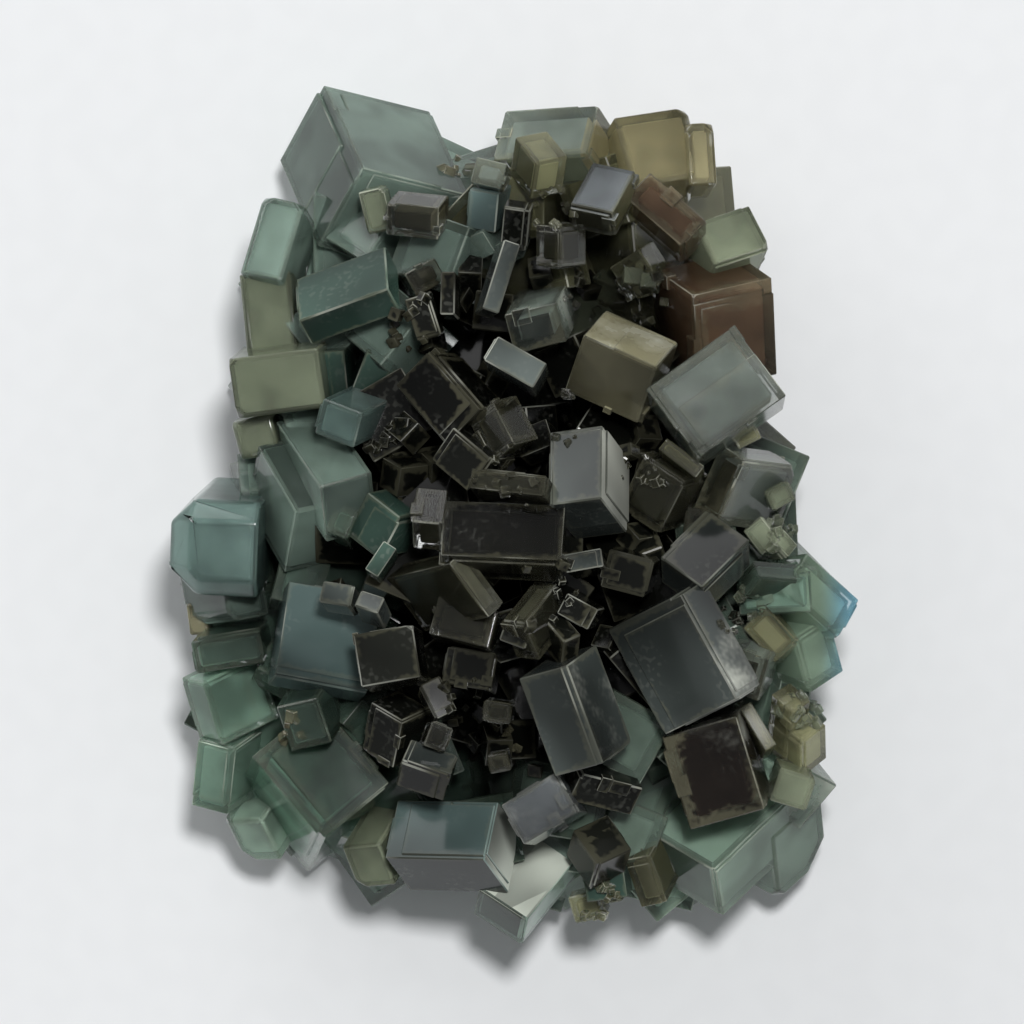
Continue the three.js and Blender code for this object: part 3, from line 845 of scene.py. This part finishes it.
def loose_cube(spot, edge, tint, chance):
    """A small crystal half sunk where it has landed."""
    cube = HiddenCube("druse", (MIDDLE_X, MIDDLE_Y), edge, lambda p: 0.0, 0)
    cube.lengths = Vector([edge * chance.uniform(*LOOSE_STRETCH) for _ in range(3)])
    angles = [chance.uniform(*span) for span in (LOOSE_TIPS, LOOSE_LEANS, (0, math.tau))]
    turn = Euler(angles).to_matrix()
    cube.place(spot - turn @ (cube.lengths / 2), turn)
    cube.tint = tint or cube.gap_tint(spot)
    return cube


def loose_cubes(chance, shift):
    """Small crystals in the gaps: patches of them, and single ones well below the dome."""
    cubes = []
    for middle, reach, count, largest, tint in DRUSE:
        for _ in range(count):
            turn = chance.uniform(0, math.tau)
            out = reach * math.sqrt(chance.random())
            spot = landing((middle[0] + out * math.cos(turn), middle[1] + out * math.sin(turn)), shift)
            edge = largest * chance.uniform(*LOOSE_SIZES)
            if spot:
                cubes.append(loose_cube(spot, edge, tint, chance))
    for _ in range(GAP_TRIES):
        across = chance.uniform(OUTLINE_LEFT, OUTLINE_RIGHT)
        spot = landing((across, chance.uniform(OUTLINE_TOP, OUTLINE_BOTTOM)), shift)
        edge = chance.uniform(*GAP_EDGES)
        deep = GAP_DEPTH + RIM_DEPTH * reach_of(spot) ** 2 if spot else 0
        if spot and reach_of(spot) < GAP_REACH and spot.z < dome_height(spot) - deep:
            cubes.append(loose_cube(spot, edge, None, chance))
    return cubes


# Shader maths


def sums(operation):
    """The two methods of a sum, with the value first and with the value second."""

    def forward(self, other):
        return self.sum(operation, self, other)

    def reflected(self, other):
        return self.sum(operation, other, self)

    return forward, reflected


class Value:
    """A shader value that can stand in a Python expression."""

    __add__, __radd__ = sums("ADD")
    __sub__, __rsub__ = sums("SUBTRACT")
    __mul__, __rmul__ = sums("MULTIPLY")

    def __init__(self, shader, socket):
        self.shader = shader
        self.socket = socket

    def sum(self, operation, first, second):
        """The result of a sum of two values."""
        return self.shader.node("ShaderNodeMath", {"operation": operation}, {0: first, 1: second})[0]

    def __abs__(self):
        return self.sum("ABSOLUTE", self, 0.0)

    def least(self, other):
        """The smaller of two values."""
        return self.sum("MINIMUM", self, other)

    def most(self, other):
        """The larger of two values."""
        return self.sum("MAXIMUM", self, other)

    def parts(self):
        """The three parts of a vector."""
        node = self.shader.node("ShaderNodeSeparateXYZ", {}, {"Vector": self})
        return node["X"], node["Y"], node["Z"]

    def clamped(self):
        """The value held between nought and one."""
        return self.shader.node("ShaderNodeClamp", {}, {"Value": self})[0]

    def step(self, low, high):
        """A smooth rise from nought at low to one at high."""
        settings = {"interpolation_type": "SMOOTHSTEP"}
        inputs = {"Value": self, "From Min": low, "From Max": high}
        return self.shader.node("ShaderNodeMapRange", settings, inputs)[0]


class Shader:
    """A material's node tree."""

    def __init__(self, name):
        self.material = bpy.data.materials.new(name)
        self.material.use_nodes = True
        self.tree = self.material.node_tree
        self.tree.nodes.clear()
        self.output = self.tree.nodes.new("ShaderNodeOutputMaterial")
        self.place = self.node("ShaderNodeTexCoord", {}, {})["Object"]

    def node(self, kind, settings, inputs):
        """Adds a node with its settings and inputs, and gives its outputs as values."""
        node = self.tree.nodes.new(kind)
        for name, value in settings.items():
            setattr(node, name, value)
        for key, value in inputs.items():
            if isinstance(value, Value):
                self.tree.links.new(value.socket, node.inputs[key])
            else:
                node.inputs[key].default_value = value
        outputs = {i: Value(self, socket) for i, socket in enumerate(node.outputs)}
        outputs.update({socket.name: Value(self, socket) for socket in node.outputs if socket.enabled})
        return outputs

    def noise(self, scale, detail, roughness=0.55):
        """Cloudy noise with features of about one over scale, in metres."""
        inputs = {"Vector": self.place, "Scale": scale, "Detail": detail, "Roughness": roughness}
        return self.node("ShaderNodeTexNoise", {}, inputs)["Fac"]

    def face(self, name, output):
        """A value kept on the faces of a piece."""
        return self.node("ShaderNodeAttribute", {"attribute_name": name}, {})[output]

    def mix(self, factor, first, second):
        """A blend of two colours."""
        return self.node("ShaderNodeMix", {"data_type": "RGBA"}, {0: factor, 6: first, 7: second})[2]

    def scaled(self, colour, gain):
        """A colour times a number."""
        inputs = {0: colour, "Scale": gain}
        return self.node("ShaderNodeVectorMath", {"operation": "SCALE"}, inputs)["Vector"]

    def principled(self, **inputs):
        """A Principled surface, with its inputs by their names."""
        return self.node("ShaderNodeBsdfPrincipled", {}, inputs)["BSDF"]

    def finish(self, surface, volume=None):
        """Links the surface, and the inside if it has one."""
        self.tree.links.new(surface.socket, self.output.inputs["Surface"])
        if volume:
            self.tree.links.new(volume.socket, self.output.inputs["Volume"])
        return self.material


FLUORITE_IOR = 1.434
ABSORPTION = {"Color": (0.30, 0.50, 0.44, 1.0), "Density": 18.0}
WHITE = (1.0, 1.0, 1.0, 1.0)
PALE_RIND = (0.26, 0.25, 0.16, 1.0)
BLUE_TIP = (0.16, 0.36, 0.46, 1.0)
# Pale dust, also used for the painted highlight along worn edges
DUST_AND_EDGE_HIGHLIGHT = (0.46, 0.47, 0.41, 1.0)

# Features of the noise, in one over metres
VEILS, CLOUDS_WIDE, WISPS, SHEET_GRAIN, GRAINS = 75.0, 130.0, 150.0, 260.0, 1500.0

# Painted shade in the gaps between the crystals: mm below the dome, how far out they reach, and how much
# darker they are; and painted light towards the rim: where it rises, its level in the middle and what it
# adds at the rim
GAP_FROM, GAP_TO, GAP_OUT, GAP_SHADE = 3, 15, (0.45, 0.75), 0.85
RIM_OUT, MIDDLE_LIGHT, RIM_LIGHT = (0.45, 1.0), 0.85, 0.3

# Where the bluish tips are, in mm to the right and to the bottom of the picture
TIP_RIGHT, TIP_DOWN, TIP_HEIGHTS = (38, 43), 16, (8, 11)


def paint_gap_shade_and_rim_light(shader, colour, gain=1.0):
    """A colour times a gain, with painted shade in the gaps between the crystals and painted light towards
    the rim.
    """
    x, y, z = shader.place.parts()
    x, y = x * (1 / HALF_WIDTH / MM), y * (1 / HALF_LENGTH / MM)
    out = x * x + y * y
    depth = (CROWN_HEIGHT - SAW_CUT) * MM - out * (RIM_DROP * MM) - z
    shade = 1.0 - depth.step(GAP_FROM * MM, GAP_TO * MM) * (1.0 - out.step(*GAP_OUT)) * GAP_SHADE
    light = shade * (MIDDLE_LIGHT + out.step(*RIM_OUT) * RIM_LIGHT) * gain
    return shader.scaled(colour, light)


def blue_tips(shader, colour):
    """The bluish tips of the clear crystals on the right."""
    x, y, _ = shader.place.parts()
    right = x.step(*(side * MM for side in TIP_RIGHT))
    beside = abs(y + TIP_DOWN * MM).step(*(side * MM for side in TIP_HEIGHTS))
    return shader.mix(right * (1.0 - beside), colour, BLUE_TIP)


def clear_fluorite():
    """Glassy faces, a little cloudy, with pale frames, frosted films, worn edges partly painted as
    highlights, faint veils, a painted sheen across each face and painted shade in the gaps.
    """
    shader = Shader("clear_fluorite")
    tint = blue_tips(shader, shader.face("tint", "Color"))
    cloudy = shader.face("tint", "Alpha")
    edge = shader.face("edge", "Fac")
    frost = shader.face("frost", "Fac")
    rind = shader.face("rind", "Fac")
    u, v, _ = shader.node("ShaderNodeUVMap", {"uv_map": "UVMap"}, {})["UV"].parts()
    half_u, half_v, width = shader.face("half", "Vector").parts()
    sheen_slant_u, sheen_slant_v, sheen_slant_base = shader.face("slant", "Vector").parts()
    clouds = shader.noise(CLOUDS_WIDE, 1.0)
    grains = shader.noise(GRAINS, 0.0)
    veils = shader.noise(VEILS, 0.0).step(0.40, 0.64)

    # A pale frame inside the edges, with a ragged inner border
    inside_edge = (half_u - abs(u)).least(half_v - abs(v))
    margin = inside_edge + (clouds - 0.5) * width * 3.2 + (grains - 0.5) * width * 1.2
    framed = (1.0 - margin.step(width * 0.2, width)) * rind
    colour = shader.mix(framed * 0.5, tint, PALE_RIND)

    # Dust: frosted films, worn edges and scuffs; the pale worn edges are partly a painted highlight
    film = (grains * 0.12 + clouds * 0.88 + frost).step(0.80, 1.15) * frost.step(0.0, 0.05)
    worn = edge * (0.03 + clouds.step(0.46, 0.64) * 0.36)
    scuffs = grains.step(0.52, 0.74) * clouds.step(0.50, 0.68) * 0.06
    dust_and_edge_highlight = (film * 0.75).most(worn).most(scuffs)

    # A painted sheen, lighter and darker across a face, and lighter along veils
    slope = 1.0 + sheen_slant_base + u * sheen_slant_u + v * sheen_slant_v
    gain = slope * (0.76 + veils * 0.56 + clouds.step(0.36, 0.70) * 0.22)
    # Painted shade in the gaps and painted light towards the rim
    colour = paint_gap_shade_and_rim_light(shader, shader.mix(dust_and_edge_highlight, colour, DUST_AND_EDGE_HIGHLIGHT), gain)

    gloss = (0.11 + clouds.step(0.4, 0.8) * 0.06 + film * 0.35 + edge * 0.1).clamped()
    finish = {"Roughness": gloss, "IOR": FLUORITE_IOR}
    glass = shader.principled(**finish, **{"Base Color": WHITE, "Transmission Weight": 1.0})
    body = shader.principled(**finish, **{"Base Color": colour, "Specular IOR Level": 0.35})
    share = (cloudy * (0.6 + clouds * 0.8) + framed * 0.1 + dust_and_edge_highlight * 0.6).clamped()
    surface = shader.node("ShaderNodeMixShader", {}, {0: share, 1: glass, 2: body})[0]
    inside = shader.node("ShaderNodeVolumeAbsorption", {}, ABSORPTION)["Volume"]
    return shader.finish(surface, inside)


def zone_finish():
    """Colour sealed in the crystals, cloudy and a little lighter along wisps, with painted shade in the
    gaps and painted light towards the rim.
    """
    shader = Shader("coloured_zone")
    tint = blue_tips(shader, shader.face("tint", "Color"))
    wisps = shader.noise(WISPS, 1.0, 0.6)
    deep = shader.scaled(tint, 0.9)
    pale = shader.scaled(tint, 1.9)
    # Painted shade in the gaps and painted light towards the rim
    colour = paint_gap_shade_and_rim_light(shader, shader.mix(wisps.step(0.30, 0.60), deep, pale))
    rough = 0.5 + wisps * 0.2
    matt = {"Base Color": colour, "Roughness": rough, "IOR": 1.08, "Specular IOR Level": 0.2}
    return shader.finish(shader.principled(**matt))


def finish_piece(piece, material):
    """Gives a finished piece its material and sets it on the part."""
    piece.data.materials.clear()
    piece.data.materials.append(material)
    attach(piece, "root")
    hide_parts(CLUSTER_NODE)


# Operators


class FLUORITE_OT_crystals(bpy.types.Operator):
    """Grows the clear crystals, with their growth steps and the small cubes in the gaps, as one piece"""

    bl_idname = "fluorite.crystals"
    bl_label = "Crystals"

    def execute(self, context):
        sizes = context.scene.fluorite_sizes
        chance = random.Random(sizes.seed)
        shift = standing_shift()
        wear = sizes.edge_wear / MM
        worn_cube = WornCube()
        blocks = []
        for crystal in visible_crystals():
            blocks += grow(worn_cube, crystal, chance, sizes, shift)
        for cube in hidden_cubes():
            blocks.append(add_block(worn_cube, (0, 0, 0), cube.lengths, cube, shift, wear))
        for cube in loose_cubes(chance, shift):
            blocks.append(add_block(worn_cube, (0, 0, 0), cube.lengths, cube, shift, wear * LOOSE_WEAR))
        body = grown_together("crystals", blocks)
        saw_flat(body)
        finish_piece(body, clear_fluorite())
        return {"FINISHED"}


class FLUORITE_OT_zones(bpy.types.Operator):
    """Fills the crystals with coloured zones, smoky in the middle and milky at the rim"""

    bl_idname = "fluorite.zones"
    bl_label = "Coloured zones"

    def execute(self, context):
        shift = standing_shift()
        worn_cube = WornCube()
        blocks = []
        for crystal in visible_crystals() + hidden_cubes():
            margin = min(CLOUDS[crystal.tint][3], min(crystal.lengths) * ZONE_LIMIT)
            if crystal.name in HIDDEN:
                margin = HIDDEN_MARGIN
            inset = Vector((margin,) * 3)
            rounded = ROUNDED.get(crystal.name, 0.0) * ZONE_ROUNDING
            chips = self.sunk(BROKEN.get(crystal.name, ()), margin)
            far = crystal.lengths - inset
            blocks.append(add_block(worn_cube, inset, far, crystal, shift, ZONE_WEAR, rounded, chips))
        body = grown_together("coloured_zones", blocks)
        saw_flat(body)
        finish_piece(body, zone_finish())
        return {"FINISHED"}

    def sunk(self, chips, margin):
        """The broken corners of a crystal, a margin deeper, for the zone inside it."""
        deeper = []
        for corner, depth in chips:
            depth += margin * (1 - math.sqrt(sum(abs(side) for side in corner)))
            if depth > 0:
                deeper.append((corner, depth))
        return deeper


# The stage, in metres and watts
FLOOR_SIDE = 12.0
FLOOR_COLOURS = ((0.765, 0.775, 0.785, 1.0), (0.775, 0.785, 0.795, 1.0))
LAMPS = (
    ("side_softbox", "RECTANGLE", (1.20, 0.60), 5.5, (-0.55, 0.95, 0.49)),
    ("top_softbox", "DISK", (0.28, 0.28), 29.0, (0.15, 0.42, 1.95)),
)
ROOM_COLOUR = (0.965, 0.985, 1.0, 1.0)
ROOM_STRENGTH = 0.26
CAMERA_HEIGHT, CAMERA_REACH, MID_HEIGHT = 1.5, 20.0, 0.018


class FLUORITE_OT_stage(bpy.types.Operator):
    """Lays the pale floor and sets the lights and the camera"""

    bl_idname = "fluorite.stage"
    bl_label = "Stage"

    def execute(self, context):
        self.lay_floor()
        self.hang_lights()
        self.light_room(context.scene)
        self.set_camera(context.scene)
        return {"FINISHED"}

    def lay_floor(self):
        """A wide matt sheet under the specimen."""
        deselect()
        bpy.ops.mesh.primitive_plane_add(size=FLOOR_SIDE)
        floor = bpy.context.object
        floor.name = "floor"
        shader = Shader("pale_sheet")
        colour = shader.mix(shader.noise(SHEET_GRAIN, 0.0).step(0.3, 0.7), *FLOOR_COLOURS)
        sheet = {"Base Color": colour, "Roughness": 0.9, "Specular IOR Level": 0.0}
        floor.data.materials.append(shader.finish(shader.principled(**sheet)))

    def hang_lights(self):
        """A soft light low towards the upper left of the picture, and a small one high above."""
        for name, shape, size, energy, place in LAMPS:
            light = bpy.data.lights.new(name, "AREA")
            light.shape = shape
            light.size, light.size_y = size
            light.energy = energy
            lamp = bpy.data.objects.new(name, light)
            lamp.location = place
            lamp.rotation_euler = Vector(place).to_track_quat("Z", "Y").to_euler()
            bpy.context.collection.objects.link(lamp)

    def light_room(self, scene):
        """Even pale light from the room."""
        world = bpy.data.worlds.new("room")
        world.use_nodes = True
        back = world.node_tree.nodes["Background"]
        back.inputs["Color"].default_value = ROOM_COLOUR
        back.inputs["Strength"].default_value = ROOM_STRENGTH
        scene.world = world
        scene.view_settings.view_transform = "Standard"
        scene.view_settings.look = "None"

    def set_camera(self, scene):
        """Looks straight down, with the photograph's framing at mid height."""
        lens = bpy.data.cameras.new("camera")
        camera = bpy.data.objects.new("camera", lens)
        width = IMAGE_SIDE * MM_PER_PIXEL * MM
        lens.lens = lens.sensor_width * (CAMERA_HEIGHT - MID_HEIGHT) / width
        centre = standing_shift() @ plane_point((IMAGE_SIDE / 2, IMAGE_SIDE / 2))
        camera.location = (centre.x, centre.y, CAMERA_HEIGHT)
        lens.clip_end = CAMERA_REACH
        bpy.context.collection.objects.link(camera)
        scene.camera = camera


class FLUORITE_PT_panel(bpy.types.Panel):
    """Lists the steps that make the specimen"""

    bl_idname = "FLUORITE_PT_panel"
    bl_label = "Fluorite Specimen"
    bl_space_type = "VIEW_3D"
    bl_region_type = "UI"
    bl_category = "Fluorite"

    def draw(self, context):
        layout = self.layout
        for group in (context.scene.fluorite_sizes, context.scene.fluorite_colours):
            for name in group.__annotations__:
                layout.prop(group, name)
        for operator in OPERATORS:
            layout.operator(operator.bl_idname)


OPERATORS = (
    FLUORITE_OT_crystals,
    FLUORITE_OT_zones,
    FLUORITE_OT_stage,
)
CLASSES = (FluoriteColours, FluoriteSizes, *OPERATORS, FLUORITE_PT_panel)


def register():
    for cls in CLASSES:
        bpy.utils.register_class(cls)
    bpy.types.Scene.fluorite_colours = bpy.props.PointerProperty(type=FluoriteColours)
    bpy.types.Scene.fluorite_sizes = bpy.props.PointerProperty(type=FluoriteSizes)


def unregister():
    del bpy.types.Scene.fluorite_sizes
    del bpy.types.Scene.fluorite_colours
    for cls in reversed(CLASSES):
        bpy.utils.unregister_class(cls)


def main():
    register()
    bpy.ops.fluorite.crystals()
    bpy.ops.fluorite.zones()
    bpy.ops.fluorite.stage()


if __name__ == "__main__":
    main()
